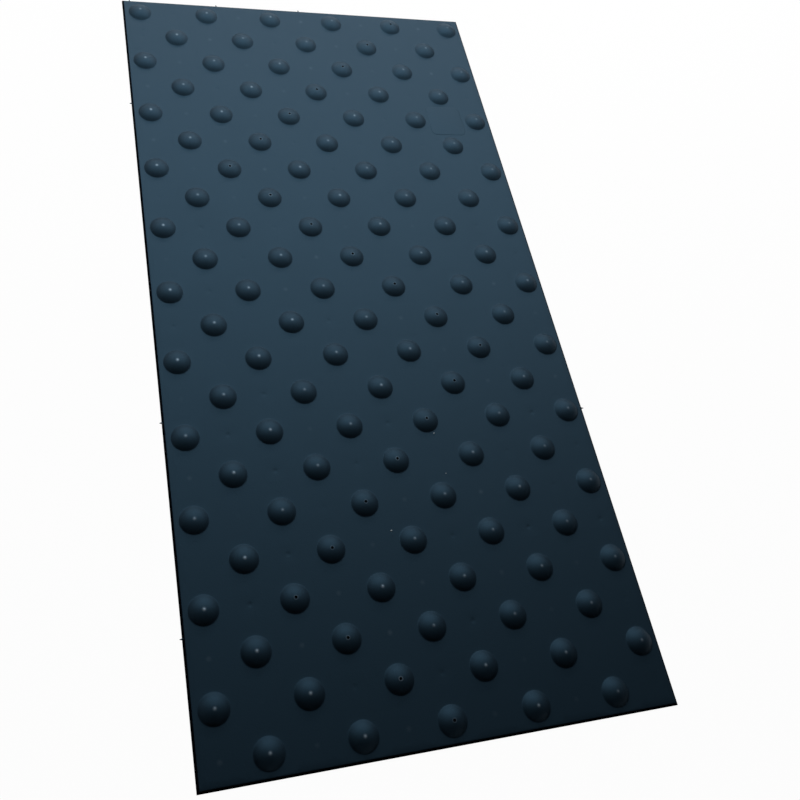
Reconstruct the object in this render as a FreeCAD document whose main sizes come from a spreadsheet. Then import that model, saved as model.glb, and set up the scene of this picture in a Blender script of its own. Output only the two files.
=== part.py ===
"""Tactile paving slab: a thin moulded sheet with a staggered field of round warning domes.

The slab lies flat. Its origin is the middle of its underside, with X across, Y along its length and Z up.
Rows of domes run across it, half a pitch apart. Full rows and rows one dome shorter take turns, and the
first row, at the +Y end, is a full one. One dome in each row has a small moulding pit in its crown, and
these pits run down the slab in a zigzag that turns one dome in from the ends of the full rows.
"""

import FreeCAD, Part
import math
import os
import Sketcher

SIZES_MM = {
    "slab_length": 825.0,
    "slab_width": 412.5,
    "sheet_thickness": 3.0,
    "edge_radius": 2.4,
    "dome_pitch": 75.0,
    "dome_diameter": 25.0,
    "dome_height": 5.0,
    "crown_diameter": 6.0,
    "pit_diameter": 1.6,
    "pit_depth": 1.0,
}
NODE = "tactile_slab"

# Domes and pits are many, so their round forms have few flat sides.
DOME_SIDES = 18
PIT_SIDES = 8

doc = FreeCAD.newDocument(NODE)

# The driving dimensions: a name and a value in millimetres on each line of the sheet.
sheet = doc.addObject("Spreadsheet::Sheet", "Sizes")
for line, (size_name, size_mm) in enumerate(SIZES_MM.items(), start=1):
    sheet.set(f"A{line}", size_name)
    sheet.set(f"B{line}", str(size_mm))
    sheet.setAlias(f"B{line}", size_name)
doc.recompute()

# Sketcher's names for the points of a curve and for the sketch's own origin.
START, END, CENTRE = range(1, 4)
ORIGIN = (-1, START)


def attach_level(feature, offset):
    """Lay a sketch or plane level in its own body, moved by three expressions along X, Y and Z."""
    body = feature.getParentGeoFeatureGroup()
    level = next(f for f in body.Origin.OriginFeatures if f.Role == "XY_Plane")
    feature.AttachmentSupport = [(level, "")]
    feature.MapMode = "FlatFace"
    for axis, expression in zip("xyz", offset):
        feature.setExpression(f".AttachmentOffset.Base.{axis}", expression)


def dimension(sketch, kind, *where, size):
    """A dimension of the sketch whose value is an expression on the sheet."""
    start_value = FreeCAD.Units.Quantity(sketch.evalExpression(size)).Value
    index = sketch.addConstraint(Sketcher.Constraint(kind, *where, start_value))
    sketch.setExpression(f"Constraints[{index}]", size)


def moulded_sheet():
    """The flat sheet that carries the domes, with the four sides of its top face rounded."""
    body = doc.addObject("PartDesign::Body", "MouldedSheet")
    sketch = body.newObject("Sketcher::SketchObject", "SheetOutline")
    attach_level(sketch, ("-Sizes.slab_width / 2", "-Sizes.slab_length / 2", "0"))
    corners = [
        FreeCAD.Vector(x, y)
        for x, y in (
            (0, 0),
            (sheet.slab_width, 0),
            (sheet.slab_width, sheet.slab_length),
            (0, sheet.slab_length),
        )
    ]
    for side in range(4):
        sketch.addGeometry(Part.LineSegment(corners[side], corners[(side + 1) % 4]))
    for side in range(4):
        sketch.addConstraint(Sketcher.Constraint("Coincident", side, END, (side + 1) % 4, START))
        sketch.addConstraint(Sketcher.Constraint("Horizontal" if side % 2 == 0 else "Vertical", side))
    sketch.addConstraint(Sketcher.Constraint("Coincident", 0, START, *ORIGIN))
    dimension(sketch, "DistanceX", 0, START, 0, END, size="Sizes.slab_width")
    dimension(sketch, "DistanceY", 1, START, 1, END, size="Sizes.slab_length")
    pad = body.newObject("PartDesign::Pad", "Sheet")
    pad.Profile = sketch
    pad.setExpression("Length", "Sizes.sheet_thickness")
    doc.recompute()

    top_sides = [
        f"Edge{number}"
        for number, edge in enumerate(pad.Shape.Edges, start=1)
        if math.isclose(edge.BoundBox.ZMin, sheet.sheet_thickness)
    ]
    fillet = body.newObject("PartDesign::Fillet", "TopSides")
    fillet.Base = (pad, top_sides)
    fillet.setExpression("Radius", "min(Sizes.edge_radius; 0.8 * Sizes.sheet_thickness)")
    doc.recompute()
    return body


def many_sided_ring(sketch, sides, diameter):
    """A ring of equal sides round the sketch's origin, with its corners on a guide circle of that size."""
    centre = FreeCAD.Vector()
    radius = FreeCAD.Units.Quantity(sketch.evalExpression(diameter)).Value / 2
    turns = [2 * math.pi * corner / sides for corner in range(sides)]
    corners = [FreeCAD.Vector(math.cos(turn), math.sin(turn)) * radius for turn in turns]
    ring = sketch.addGeometry([
        Part.LineSegment(corner, next_corner)
        for corner, next_corner in zip(corners, corners[1:] + corners[:1])
    ])
    guide = sketch.addGeometry(Part.Circle(centre, FreeCAD.Vector(0, 0, 1), radius), True)
    rules = [
        ("Coincident", guide, CENTRE, *ORIGIN),
        ("Horizontal", ring[0], START, guide, CENTRE),
    ]
    for side, next_side in zip(ring, ring[1:] + ring[:1]):
        rules.append(("Coincident", side, END, next_side, START))
        rules.append(("PointOnObject", side, END, guide))
    for side in ring[1:]:
        rules.append(("Equal", ring[0], side))
    sketch.addConstraint([Sketcher.Constraint(*rule) for rule in rules])
    dimension(sketch, "Diameter", guide, size=diameter)


def facet_band(body, name, foot_z, lower_diameter, upper_diameter):
    """The flat facets round one half of a dome's height: a many-sided pad whose sides are drafted inwards."""
    level = body.newObject("PartDesign::Plane", f"{name}Level")
    attach_level(level, ("0", "0", foot_z))
    sketch = body.newObject("Sketcher::SketchObject", f"{name}Ring")
    attach_level(sketch, ("0", "0", foot_z))
    many_sided_ring(sketch, DOME_SIDES, lower_diameter)
    pad = body.newObject("PartDesign::Pad", f"{name}Pad")
    pad.Profile = sketch
    pad.setExpression("Length", "Sizes.dome_height / 2")
    pad.Refine = False
    doc.recompute()

    upright_sides = [
        f"Face{number}"
        for number, face in enumerate(pad.Shape.Faces, start=1)
        if math.isclose(face.normalAt(0, 0).z, 0, abs_tol=1e-9)
    ]
    draft = body.newObject("PartDesign::Draft", f"{name}Draft")
    draft.Base = (pad, upright_sides)
    draft.NeutralPlane = (level, [""])
    inset = f"({lower_diameter} - {upper_diameter}) / 2 * cos(180 deg / {DOME_SIDES})"
    draft.setExpression("Angle", f"atan({inset} / (Sizes.dome_height / 2))")
    draft.Refine = False
    doc.recompute()


def faceted_dome():
    """One dome, standing at the origin: a cap of a sphere in flat facets.

    One band of facets leads from its foot to half its height, and one from there to its flat crown.
    """
    body = doc.addObject("PartDesign::Body", "Dome")
    shoulder = "sqrt(Sizes.dome_diameter ^ 2 / 2 + Sizes.dome_height ^ 2)"
    facet_band(body, "Lower", "0", "Sizes.dome_diameter", shoulder)
    facet_band(body, "Upper", "Sizes.dome_height / 2", shoulder, "Sizes.crown_diameter")
    return body


def pitted_dome(dome):
    """The same dome with a small pit sunk in the middle of its crown."""
    pit = doc.addObject("Part::Prism", "Pit")
    pit.Polygon = PIT_SIDES
    pit.setExpression("Circumradius", "Sizes.pit_diameter / 2")
    pit.setExpression("Height", "Sizes.pit_depth")
    pit.setExpression(".Placement.Base.z", "Sizes.dome_height - Sizes.pit_depth")
    cut = doc.addObject("Part::Cut", "PittedDome")
    cut.Base = dome
    cut.Tool = pit
    doc.recompute()
    return cut


moulding = moulded_sheet()
dome = faceted_dome()
pitted = pitted_dome(dome)

# The dome field fills the slab inside its rounded edges and is centred on it both ways.
field_band = sheet.dome_diameter + 2 * sheet.edge_radius
row_step = sheet.dome_pitch / 2
row_count = math.floor((sheet.slab_length - field_band) / row_step) + 1
full_row_domes = math.floor((sheet.slab_width - field_band) / sheet.dome_pitch) + 1

# The zigzag of pits moves half a pitch across with each row, and turns this far from the middle.
domes_in_from_end = 1 if full_row_domes > 3 else 0
turn_steps = max(full_row_domes - 1 - 2 * domes_in_from_end, 1)

field = []
for row in range(row_count):
    phase = row % (4 * turn_steps)
    pit_steps = turn_steps - phase if phase <= 2 * turn_steps else phase - 3 * turn_steps
    domes_in_row = full_row_domes - row % 2
    y = ((row_count - 1) / 2 - row) * row_step
    for x_steps in range(1 - domes_in_row, domes_in_row, 2):
        made = pitted if x_steps == pit_steps else dome
        place = FreeCAD.Vector(x_steps * row_step, y, sheet.sheet_thickness)
        field.append(made.Shape.translated(place))

# The slab is the sheet and all its domes, joined in one step: a body's own pattern of so many facets is slow.
slab = doc.addObject("Part::Feature", "Slab")
slab.Label = NODE
slab.Shape = moulding.Shape.fuse(field)

# Nothing is written unless every feature built and the slab is one sound solid with its pits cut.
for feature in doc.Objects:
    if {"Invalid", "Error"} & set(feature.State):
        raise RuntimeError(f"{feature.Name} did not build: {feature.State}")
shape = slab.Shape
if shape.isNull() or not shape.isValid() or len(shape.Solids) != 1:
    raise RuntimeError("the slab is not one valid solid")
if pitted.Shape.Volume >= dome.Shape.Volume:
    raise RuntimeError("the crown pit cuts nothing")

os.makedirs("parts", exist_ok=True)
shape.exportStep(os.path.join("parts", f"{slab.Label}.step"))
print(f"{row_count} rows, {full_row_domes} domes in a full row, {shape.Volume / 1000:.1f} cm3")
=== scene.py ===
"""Looks of a tactile paving slab, in metres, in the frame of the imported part.

X runs across the slab, Y along it and Z up from the middle of its underside. The slab is a chequerboard of
squares: every second square carries a warning dome, and the squares between them are plain.
"""

import math

import bpy
import numpy as np
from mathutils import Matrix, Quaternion, Vector


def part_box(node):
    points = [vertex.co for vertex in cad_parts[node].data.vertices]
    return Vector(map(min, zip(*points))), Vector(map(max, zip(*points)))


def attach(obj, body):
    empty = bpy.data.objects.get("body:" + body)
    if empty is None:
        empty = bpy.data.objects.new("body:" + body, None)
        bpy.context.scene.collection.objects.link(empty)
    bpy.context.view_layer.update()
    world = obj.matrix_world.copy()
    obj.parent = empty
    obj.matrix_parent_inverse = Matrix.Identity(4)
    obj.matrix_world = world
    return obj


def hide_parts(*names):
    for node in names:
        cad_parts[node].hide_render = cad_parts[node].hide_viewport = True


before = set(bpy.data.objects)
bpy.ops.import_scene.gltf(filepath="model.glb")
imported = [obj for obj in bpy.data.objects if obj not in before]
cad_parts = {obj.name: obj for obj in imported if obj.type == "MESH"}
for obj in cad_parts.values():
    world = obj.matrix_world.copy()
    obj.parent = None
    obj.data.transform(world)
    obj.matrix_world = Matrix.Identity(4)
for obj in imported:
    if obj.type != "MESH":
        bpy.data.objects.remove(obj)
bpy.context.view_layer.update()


# Slab: a thin sheet of blue-black rubber, hot moulded in one piece with its round warning domes and laid
# with its flat underside down. Its top sides are rounded. Moulding left a small pip or a small pit in the
# crown of each dome, and a shallow sink mark or pale bloom in the middle of each plain square. Each pip and
# each pit's lip carries a painted highlight, and each pit's inside is painted shade.
slab_low, slab_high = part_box("tactile_slab")
squares_across = 11
squares_along = 22
square = (slab_high.x - slab_low.x) / squares_across
sheet_top = 0.003
side_round = 0.0028
dome_radius = 0.0125
dome_height = slab_high.z - sheet_top
foot_round = 0.0003
pip_radius = 0.0009
pip_height = 0.00015
pit_depth = 0.001
sink_radius = 0.0032
sink_depth = 0.0003
points_per_square_side = 8
weld_distance = 1e-7
sharp_angle = math.radians(50)


def rectangle_outline(steps_x, steps_y):
    """Evenly stepped points round a rectangle that reaches from -1 to 1 both ways, against the clock."""
    corners = np.cumsum([0, steps_x, steps_y, steps_x, steps_y])
    step = np.arange(corners[-1])
    return np.stack([
        np.interp(step, corners, (1, -1, -1, 1, 1)),
        np.interp(step, corners, (1, 1, -1, -1, 1)),
    ], axis=-1)


def square_cells(centres, radii, heights):
    """Points of squares filled by rings, on axes of square, ring, step round the ring and coordinate.

    Each ring is a circle of one radius at one height above the sheet. Two flat rings more carry the last
    circle half way and then all the way out to the square's outline.
    """
    outline = rectangle_outline(points_per_square_side, points_per_square_side)
    turn = np.pi / 4 + np.arange(len(outline)) * 2 * np.pi / len(outline)
    circles = radii[:, None, None] * np.stack([np.cos(turn), np.sin(turn)], axis=-1)
    square_ring = outline * square / 2
    plan = np.concatenate([circles, [(circles[-1] + square_ring) / 2, square_ring]])
    level = sheet_top + np.concatenate([heights, [0, 0]])
    points = np.empty((len(centres), *plan.shape[:2], 3))
    points[..., :2] = centres[:, None, None] + plan
    points[..., 2] = level[:, None]
    return points


def dome_cap(radius):
    """Height of a cap of a sphere over the sheet, run into the flat by a soft maximum of the cap and zero."""
    ball_radius = (dome_radius**2 + dome_height**2) / (2 * dome_height)
    cap = np.sqrt(np.maximum(ball_radius**2 - radius**2, 0)) - ball_radius + dome_height
    return (cap + np.sqrt(cap**2 + foot_round**2)) / 2


def ring_quads(index):
    """Quads between neighbouring rings of a grid of point numbers whose rings close on themselves."""
    after = np.roll(index, -1, axis=-1)
    corners = [index[..., :-1, :], index[..., 1:, :], after[..., 1:, :], after[..., :-1, :]]
    return np.stack(corners, axis=-1).reshape(-1, 4)


def welded_piece(name, points, quads, closing_face=None, highlight_and_bloom=None, finish=None):
    """A smooth mesh object with points in one place welded, so that a quad at a pole becomes a triangle.

    The pale value given for each point paints highlights on the crowns and a pale bloom on the flats.
    Finish is the number of a material for each quad, and the closing face has the first material.
    """
    keys = np.round(points / weld_distance).astype(np.int64)
    first, welded = np.unique(keys, axis=0, return_index=True, return_inverse=True)[1:]
    welded = welded.reshape(-1)
    corners = welded[quads]
    distinct = corners != np.roll(corners, -1, axis=1)
    whole = distinct.all(axis=1)
    triangles = corners[~whole][distinct[~whole]].reshape(-1, 3)
    faces = corners[whole].tolist() + triangles.tolist()
    if closing_face is not None:
        faces.append(welded[closing_face].tolist())
    mesh = bpy.data.meshes.new(name)
    mesh.from_pydata(points[first], [], faces)
    mesh.shade_smooth()
    mesh.set_sharp_from_angle(angle=sharp_angle)
    if highlight_and_bloom is not None:
        highlight_and_bloom_attribute = mesh.attributes.new("highlight_and_bloom", "FLOAT", "POINT")
        highlight_and_bloom_attribute.data.foreach_set("value", highlight_and_bloom[first].astype(np.float32))
    if finish is not None:
        face_finish = np.zeros(len(faces), dtype=np.int32)
        face_finish[:len(quads)] = np.concatenate([finish[whole], finish[~whole]])
        mesh.polygons.foreach_set("material_index", face_finish)
    piece = bpy.data.objects.new(name, mesh)
    bpy.context.scene.collection.objects.link(piece)
    return piece


def pit_columns(rows):
    """Columns of the pitted domes: a zigzag over rows, turning three squares either side of the middle."""
    reach = 3
    phase = np.abs((rows + 2 * reach) % (4 * reach) - 2 * reach)
    return squares_across // 2 + reach - phase


column, row = (grid.ravel() for grid in np.meshgrid(np.arange(squares_across), np.arange(squares_along)))
centre = np.stack([
    slab_low.x + (column + 0.5) * square,
    slab_high.y - (row + 0.5) * square,
], axis=-1)
has_dome = (column + row) % 2 == 0
has_pit = has_dome & (column == pit_columns(row))
has_pip = has_dome & ~has_pit
chance = np.random.default_rng(11)

crown_radii = np.array([0, 0.5, 0.8, 1.05, 1.25, 1.7, 2.3]) / 1000
cap_radii = np.array([3.5, 5.5, 7.5, 9.2, 10.5, 11.4, 12, 12.35, 12.65, 13, 13.6]) / 1000
dome_radii = np.concatenate([crown_radii, cap_radii])
dome_heights = dome_cap(dome_radii)
pip_rise = pip_height * np.clip(1 - (dome_radii / pip_radius) ** 2, 0, 1)
# The pale paint on each pip, and round each pit's lip, is a painted highlight.
pip_highlight = np.interp(dome_radii, crown_radii, (1, 0.9, 0.6, 0.4, 0.25, 0.1, 0))
pit_drop = pit_depth * np.interp(dome_radii, crown_radii, (1, 1, 1, 0.9, 0, -0.06, 0))
pit_lip_highlight = np.interp(dome_radii, crown_radii, (0, 0, 0, 0, 0.25, 0.25, 0))
pit_lip = crown_radii[4]
sink_radii = np.array([0, 0.4, 0.75, 1]) * sink_radius
sink_shape = np.cos(sink_radii / sink_radius * np.pi / 2) ** 2

# The painted highlights on the crowns are brightest along the slab's left side and towards its near end.
left_highlight, right_highlight = 1.0, 0.35
far_highlight, near_highlight = 0.5, 1.0
highlight_by_place = np.interp(column, (0, squares_across - 1), (left_highlight, right_highlight))
highlight_by_place *= np.interp(row, (0, squares_along // 2), (far_highlight, near_highlight))
clean_dome = np.zeros(len(dome_radii))
clean_flat = np.zeros(len(sink_radii))
sink_scuff = 0.06
flat_rings = [0, 0]
blocks = []
highlights_and_blooms = []
finishes = []
for where, radii, heights, highlight_and_bloom, sink, shade_reach in (
    (has_pip, dome_radii, dome_heights + pip_rise, pip_highlight, clean_dome, 0),
    (has_pit, dome_radii, dome_heights - pit_drop, pit_lip_highlight, clean_dome, pit_lip),
    (~has_dome, sink_radii, clean_flat, clean_flat, sink_shape, 0),
):
    block = square_cells(centre[where], radii, heights)
    ring_highlight = np.append(highlight_and_bloom, flat_rings)
    ring_sink = np.append(sink, flat_rings)
    strength = chance.uniform(0.5, 1, len(block)) * highlight_by_place[where]
    sunk = chance.uniform(-1, 1, len(block))
    dent = np.maximum(sunk, 0)[:, None] * ring_sink
    bloom = np.maximum(-sunk, 0)[:, None] * ring_sink
    block[..., 2] -= sink_depth * dent[..., None]
    pale = strength[:, None] * ring_highlight + sink_scuff * bloom
    # Inside each pit the dark rubber without sheen is painted shade.
    shade_bands = np.append(radii[1:] <= shade_reach, flat_rings)
    blocks.append(block)
    highlights_and_blooms.append(np.broadcast_to(pale[..., None], block.shape[:3]))
    finishes.append(np.broadcast_to(shade_bands[:, None], (len(block), len(shade_bands), block.shape[2])))

# The top face stops short of the slab's sides. From there a quarter round and a wall lead down to the
# underside. All but the start of the round is painted shade: the dark rubber with no sheen.
half_size = np.array([slab_high.x - slab_low.x, slab_high.y - slab_low.y]) / 2
for block in blocks:
    np.clip(block[..., :2], side_round - half_size, half_size - side_round, out=block[..., :2])
rim = rectangle_outline(squares_across * points_per_square_side, squares_along * points_per_square_side)
outward = np.where(np.abs(rim) == 1, np.sign(rim), 0)
bend_steps = 6
bend = np.linspace(0, np.pi / 2, bend_steps)
side_out = np.append(np.sin(bend), 1)
side_level = np.append(sheet_top - side_round * (1 - np.cos(bend)), 0)
side_shade_bands = side_out[:-1] > 0
sides = np.empty((len(side_out), len(rim), 3))
sides[..., :2] = np.clip(rim * half_size, side_round - half_size, half_size - side_round)
sides[..., :2] += side_round * side_out[:, None, None] * outward
sides[..., 2] = side_level[:, None]
blocks.append(sides)
highlights_and_blooms.append(np.zeros(sides.shape[:2]))
finishes.append(np.broadcast_to(side_shade_bands[:, None], (len(side_shade_bands), len(rim))))

quads = []
point_count = 0
for block in blocks:
    index = point_count + np.arange(block[..., 0].size).reshape(block.shape[:-1])
    quads.append(ring_quads(index))
    point_count += index.size
underside = index[-1, ::-1]
slab = welded_piece(
    "dome_slab",
    np.concatenate([block.reshape(-1, 3) for block in blocks]),
    np.concatenate(quads),
    closing_face=underside,
    highlight_and_bloom=np.concatenate([highlight_and_bloom.ravel() for highlight_and_bloom in highlights_and_blooms]),
    finish=np.concatenate([finish.ravel() for finish in finishes]),
)


def add_node(tree, kind, feeds, **settings):
    """A new node with its settings made. A feed that is another node's output is linked; the rest are set."""
    node = tree.nodes.new(kind)
    for name, value in settings.items():
        setattr(node, name, value)
    for socket, value in feeds.items():
        if isinstance(value, bpy.types.NodeSocket):
            tree.links.new(value, node.inputs[socket])
        else:
            node.inputs[socket].default_value = value
    return node


def mixed_colour(tree, share, first, second):
    """The output of a mix of two colours."""
    mix = add_node(tree, "ShaderNodeMix", {0: share, 6: first, 7: second}, data_type="RGBA")
    return mix.outputs[2]


def rubber_finish():
    """Dark rubber with a broad blue sheen: fine moulding grain, cloudy gloss, painted highlights and pale
    blooms.
    """
    material = bpy.data.materials.new("moulded_rubber")
    material.use_nodes = True
    tree = material.node_tree
    surface = tree.nodes["Principled BSDF"]
    place = tree.nodes.new("ShaderNodeTexCoord").outputs["Object"]
    clouds = add_node(tree, "ShaderNodeTexNoise", {"Vector": place, "Scale": 16, "Detail": 5})
    grain = add_node(tree, "ShaderNodeTexNoise", {"Vector": place, "Scale": 800, "Detail": 3})
    highlight_and_bloom_mark = add_node(tree, "ShaderNodeAttribute", {}, attribute_name="highlight_and_bloom")

    deep_blue = (0.002, 0.003, 0.005, 1)
    worn_blue = (0.004, 0.006, 0.009, 1)
    # The pale grey paints highlights on the crowns and pit lips, and pale blooms on the flats.
    highlight_and_bloom_grey = (0.38, 0.47, 0.55, 1)
    body_colour = mixed_colour(tree, clouds.outputs["Fac"], deep_blue, worn_blue)
    highlight_and_bloom_colour = mixed_colour(tree, highlight_and_bloom_mark.outputs["Fac"], body_colour, highlight_and_bloom_grey)
    tree.links.new(highlight_and_bloom_colour, surface.inputs["Base Color"])

    cloud_gloss = add_node(
        tree, "ShaderNodeMapRange",
        {"Value": clouds.outputs["Fac"], "From Min": 0.3, "From Max": 0.7, "To Min": 0.655, "To Max": 0.672},
    )
    crown_gloss = add_node(
        tree, "ShaderNodeMath", {0: highlight_and_bloom_mark.outputs["Fac"], 1: -0.3, 2: cloud_gloss.outputs["Result"]},
        operation="MULTIPLY_ADD",
    )
    tree.links.new(crown_gloss.outputs["Value"], surface.inputs["Roughness"])
    grain_bump = add_node(
        tree, "ShaderNodeBump", {"Height": grain.outputs["Fac"], "Strength": 0.6, "Distance": 0.0001}
    )
    tree.links.new(grain_bump.outputs["Normal"], surface.inputs["Normal"])
    surface.inputs["Specular IOR Level"].default_value = 1.0
    surface.inputs["Specular Tint"].default_value = (0.28, 0.65, 1.0, 1)
    return material


def painted_shade_finish():
    """Painted shade: a copy of the rubber with no sheen, mottled, inside the pits and on the sides."""
    material = bpy.data.materials.new("painted_shade_rubber")
    material.use_nodes = True
    tree = material.node_tree
    surface = tree.nodes["Principled BSDF"]
    place = tree.nodes.new("ShaderNodeTexCoord").outputs["Object"]
    mottle = add_node(tree, "ShaderNodeTexNoise", {"Vector": place, "Scale": 300, "Detail": 3})
    dark_mottle = (0.001, 0.0015, 0.003, 1)
    pale_mottle = (0.005, 0.007, 0.01, 1)
    shade_colour = mixed_colour(tree, mottle.outputs["Fac"], dark_mottle, pale_mottle)
    tree.links.new(shade_colour, surface.inputs["Base Color"])
    surface.inputs["Roughness"].default_value = 0.9
    surface.inputs["Specular IOR Level"].default_value = 0
    return material


rubber = rubber_finish()
slab.data.materials.append(rubber)
# The second material is painted shade for the pits and the sides.
slab.data.materials.append(painted_shade_finish())
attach(slab, "root")
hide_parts("tactile_slab")


# Panel: a low plain plate with rounded corners, moulded with the slab on a plain square near its far end.
# It is part of the same rubber, and its foot runs down into the sheet.
panel_column, panel_row = 9, 4
panel_half = 0.021
panel_corner = 0.006
panel_height = 0.00025
panel_sink = 0.0003
panel_insets = np.array([panel_half, 0.0008, 0.0004, 0.0001, 0, 0])
shoulder_level = 0.85
neck_level = 0.3
panel_levels = np.array([
    panel_height, panel_height, shoulder_level * panel_height, neck_level * panel_height, 0, -panel_sink
])
corner_steps = 7
corner_turns = np.linspace(0, np.pi / 2, corner_steps) + np.arange(4)[:, None] * np.pi / 2
corner_signs = np.repeat([(1, 1), (-1, 1), (-1, -1), (1, -1)], corner_turns.shape[1], axis=0)
corner_arcs = np.stack([np.cos(corner_turns), np.sin(corner_turns)], axis=-1).reshape(-1, 2)
core_reach = np.minimum(panel_half - panel_corner, panel_half - panel_insets)
arc_radius = panel_half - panel_insets - core_reach
panel_points = np.empty((len(panel_insets), len(corner_arcs), 3))
panel_points[..., :2] = centre[(column == panel_column) & (row == panel_row)]
panel_points[..., :2] += core_reach[:, None, None] * corner_signs + arc_radius[:, None, None] * corner_arcs
panel_points[..., 2] = sheet_top + panel_levels[:, None]
panel_index = np.arange(panel_points[..., 0].size).reshape(panel_points.shape[:2])
panel = welded_piece(
    "bare_panel", panel_points.reshape(-1, 3), ring_quads(panel_index), closing_face=panel_index[-1, ::-1]
)
panel.data.materials.append(rubber)
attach(panel, "root")


# Vent nubs: short stubs of rubber that ran into the mould's vents and were left along the slab's sides
# when it was trimmed. Each stands out level from the round of its side.
nub_level = 0.0016
nub_reach = np.array([2.0, 1.95, 1.6, 0.9, 0.2, -0.8, -0.8]) / 1000
nub_radius = np.array([0, 0.25, 0.4, 0.5, 0.75, 0.8, 0]) / 1000
nub_places = np.array([
    (-0.198, slab_high.y),
    (-0.099, slab_high.y),
    (0.0, slab_high.y),
    (slab_low.x, 0.257),
    (slab_low.x, -0.115),
    (slab_low.x, -0.301),
    (slab_high.x, -0.130),
])


def turned_studs(name, feet, axes, sizes, reach, radius):
    """One profile turned about each stud's own axis: a circle of each radius at each reach, tip first.

    Each stud's own size multiplies its reach and radius.
    """
    up = np.array([0, 0, 1.0])
    stud_sides = 12
    turn = np.arange(stud_sides) * 2 * np.pi / stud_sides
    first_side = np.cross(np.where(np.abs(axes[:, 2:]) > 0.5, [1.0, 0, 0], up), axes)
    second_side = np.cross(axes, first_side)
    round_way = np.cos(turn)[:, None] * first_side[:, None] + np.sin(turn)[:, None] * second_side[:, None]
    spread = reach[:, None, None] * axes[:, None, None] + radius[:, None, None] * round_way[:, None]
    points = feet[:, None, None] + sizes[:, None, None, None] * spread
    index = np.arange(points[..., 0].size).reshape(points.shape[:-1])
    return welded_piece(name, points.reshape(-1, 3), ring_quads(index))


nub_axes = np.where(np.abs(nub_places) >= half_size - weld_distance, np.sign(nub_places), 0)
nubs = turned_studs(
    "vent_nubs",
    np.insert(nub_places, 2, nub_level, axis=1),
    np.insert(nub_axes, 2, 0, axis=1),
    np.ones(len(nub_places)),
    nub_reach,
    nub_radius,
)
nubs.data.materials.append(rubber)
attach(nubs, "root")


# Dust: a few pale specks of grit, no thicker than a grain of sand.
# They lie loose on the sheet between the domes, and rest there without touching any other piece.
speck_places = np.array([(-0.0182, -0.2334), (0.0430, -0.1452), (0.0453, -0.1855)])
speck_sizes = np.array([1.2, 1.1, 0.8])
speck_reach = np.array([0.5, 0.45, 0.25, 0, -0.1, -0.1]) / 1000
speck_radius = np.array([0, 0.3, 0.6, 0.7, 0.7, 0]) / 1000
specks = turned_studs(
    "dust_specks",
    np.insert(speck_places, 2, sheet_top, axis=1),
    np.tile([0, 0, 1.0], (len(speck_places), 1)),
    speck_sizes,
    speck_reach,
    speck_radius,
)
grit = bpy.data.materials.new("pale_grit")
grit.use_nodes = True
grit_surface = grit.node_tree.nodes["Principled BSDF"]
grit_place = grit.node_tree.nodes.new("ShaderNodeTexCoord").outputs["Object"]
grit_noise = add_node(grit.node_tree, "ShaderNodeTexNoise", {"Vector": grit_place, "Scale": 3000})
dark_grit = (0.2, 0.24, 0.27, 1)
pale_grit = (0.45, 0.52, 0.57, 1)
grit_tone = mixed_colour(grit.node_tree, grit_noise.outputs["Fac"], dark_grit, pale_grit)
grit.node_tree.links.new(grit_tone, grit_surface.inputs["Base Color"])
grit_surface.inputs["Roughness"].default_value = 0.9
specks.data.materials.append(grit)
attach(specks, "root")


# Floor: a plain white sweep under the slab.
# It shows as white paper and still takes the slab's shadow.
def seen_directly(tree):
    """An output that is 1 for what the camera sees, in a reflection or through glass too, and 0 for light."""
    ray = tree.nodes.new("ShaderNodeLightPath")
    seen = add_node(
        tree, "ShaderNodeMath", {0: ray.outputs["Is Camera Ray"], 1: ray.outputs["Is Glossy Ray"]},
        operation="MAXIMUM",
    )
    seen_through = add_node(
        tree, "ShaderNodeMath", {0: seen.outputs["Value"], 1: ray.outputs["Is Transmission Ray"]},
        operation="MAXIMUM",
    )
    return seen_through.outputs["Value"]


floor_reach = 6.0
floor_drop = 0.0002
floor_mesh = bpy.data.meshes.new("floor")
floor_corners = rectangle_outline(1, 1) * floor_reach
floor_mesh.from_pydata(np.insert(floor_corners, 2, -floor_drop, axis=1), [], [range(len(floor_corners))])
floor = bpy.data.objects.new("floor", floor_mesh)
bpy.context.scene.collection.objects.link(floor)
paper = bpy.data.materials.new("white_paper")
paper.use_nodes = True
paper_tree = paper.node_tree
paper_tree.nodes.clear()
paper_matt = add_node(paper_tree, "ShaderNodeBsdfDiffuse", {"Color": (0.8, 0.8, 0.8, 1)})
paper_glow = add_node(
    paper_tree, "ShaderNodeEmission", {"Color": (1, 1, 1, 1), "Strength": seen_directly(paper_tree)}
)
glow_share = 0.97
paper_mix = add_node(
    paper_tree, "ShaderNodeMixShader", {0: glow_share, 1: paper_matt.outputs[0], 2: paper_glow.outputs[0]}
)
paper_out = add_node(paper_tree, "ShaderNodeOutputMaterial", {"Surface": paper_mix.outputs[0]})
floor_mesh.materials.append(paper)


# Light: two wide soft panels, one over the far end and one lower down beyond it. Black cloth hangs round
# the set and over it, out of the camera's sight, so that the rubber shows the panels, not the surroundings.
panel_lamp_width = 2.0


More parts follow.
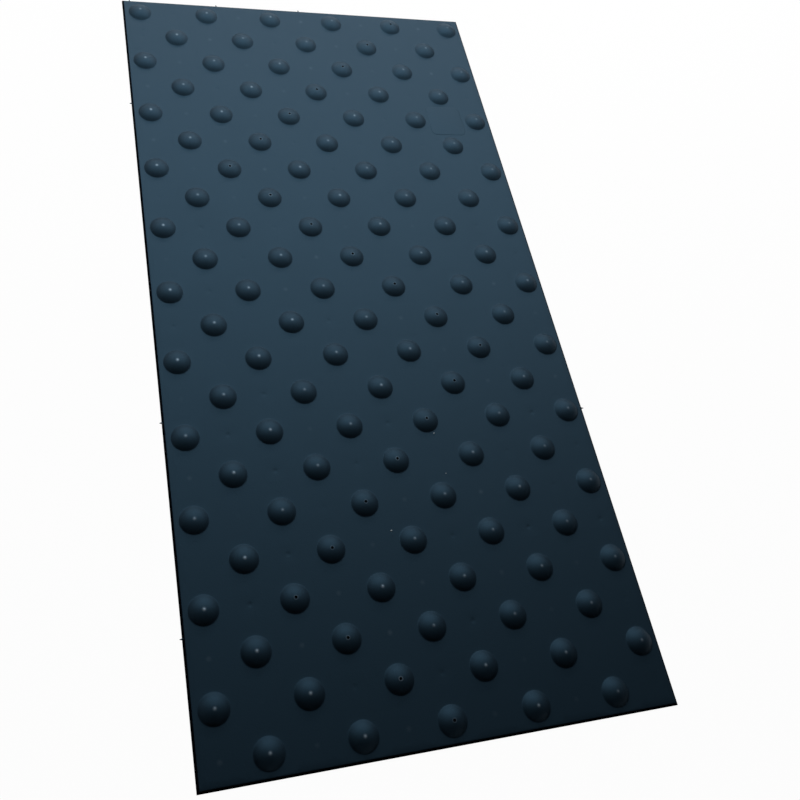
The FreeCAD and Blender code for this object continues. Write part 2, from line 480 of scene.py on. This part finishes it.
def soft_panel(name, depth, place, radiance):
    """A level panel lamp. Its power is its radiance times pi times its area."""
    lamp_data = bpy.data.lights.new(name, "AREA")
    lamp_data.shape = "RECTANGLE"
    lamp_data.size = panel_lamp_width
    lamp_data.size_y = depth
    lamp_data.energy = radiance * np.pi * lamp_data.size * depth
    lamp = bpy.data.objects.new(name, lamp_data)
    lamp.location = place
    bpy.context.scene.collection.objects.link(lamp)


soft_panel("overhead_panel", 0.3, (0.2, 0.65, 0.92), 7.94)
soft_panel("far_panel", 0.5, (0.2, 1.65, 0.55), 8.74)
cloth_reach = 5.0
cloth_points = np.empty((2, 4, 3))
cloth_points[..., :2] = rectangle_outline(1, 1) * cloth_reach
cloth_points[..., 2] = np.array([[-floor_drop], [cloth_reach]])
cloth_index = np.arange(cloth_points[..., 0].size).reshape(cloth_points.shape[:2])
cloth = welded_piece(
    "black_cloth", cloth_points.reshape(-1, 3), ring_quads(cloth_index), closing_face=cloth_index[-1]
)
cloth.visible_camera = False
black = bpy.data.materials.new("black_cloth")
black.use_nodes = True
black_surface = black.node_tree.nodes["Principled BSDF"]
black_surface.inputs["Base Color"].default_value = (0, 0, 0, 1)
black_surface.inputs["Specular IOR Level"].default_value = 0
cloth.data.materials.append(black)
world = bpy.data.worlds.new("white_surroundings")
world.use_nodes = True
surroundings = world.node_tree.nodes["Background"]
surroundings.inputs["Color"].default_value = (1, 1, 1, 1)
world.node_tree.links.new(seen_directly(world.node_tree), surroundings.inputs["Strength"])
bpy.context.scene.world = world


# Camera: looks down the slab from beyond its near left corner, turned a little about its own axis.
camera_data = bpy.data.cameras.new("camera")
camera_data.sensor_width = 36
camera_data.lens = 41.153
camera_data.shift_x = 0.0619
camera_data.shift_y = -0.0685
camera = bpy.data.objects.new("camera", camera_data)
camera.location = (-0.27962, -0.44862, 0.74818)
look_at = Vector((-0.02068, -0.04707, sheet_top))
camera_roll = math.radians(25.83)
level_turn = (look_at - camera.location).to_track_quat("-Z", "Y")
camera.rotation_mode = "QUATERNION"
camera.rotation_quaternion = level_turn @ Quaternion((0, 0, 1), camera_roll)
bpy.context.scene.collection.objects.link(camera)
bpy.context.scene.camera = camera

bpy.context.scene.view_settings.view_transform = "Standard"
